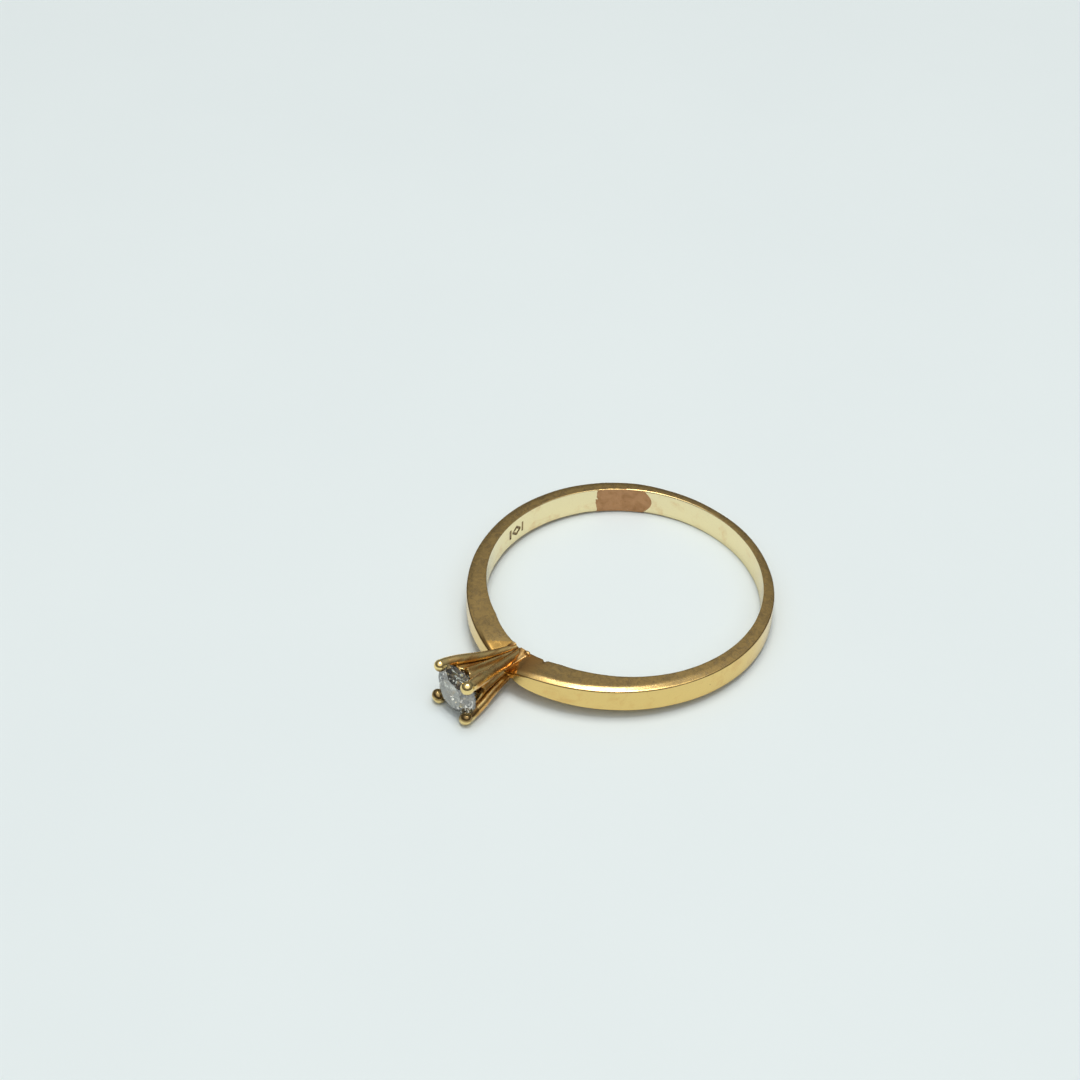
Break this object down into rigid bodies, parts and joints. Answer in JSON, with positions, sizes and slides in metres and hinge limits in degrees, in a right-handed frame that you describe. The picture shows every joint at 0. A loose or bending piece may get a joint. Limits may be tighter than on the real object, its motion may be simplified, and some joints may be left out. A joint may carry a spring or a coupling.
{
  "type": "solitaire ring",
  "caption": "Solitaire engagement ring: a slim tapering band with a flared, fluted prong head holding a round brilliant-cut stone.",
  "frame": {"origin": "centre of the finger hole, halfway across the band", "axes": "+Z along the finger hole; the head and stone point along -Y; the band's left arm is on -X"},
  "size_m": [0.019, 0.0238, 0.0033],
  "materials": {
    "gold": "worn polish, satin on the band's sides, with tarnish",
    "solder": "matte, reddish, oxidised",
    "diamond": "polished facets"
  },
  "bodies": {
    "root": {"shank_left_arm": "gold", "shank_right_arm": "gold", "head_base": "gold", "prong_upper_left": "gold", "prong_upper_right": "gold", "prong_lower_left": "gold", "prong_lower_right": "gold", "sizing_solder": "solder", "head_solder_left": "solder", "head_solder_right": "solder", "diamond": "diamond"}
  },
  "joints": []
}
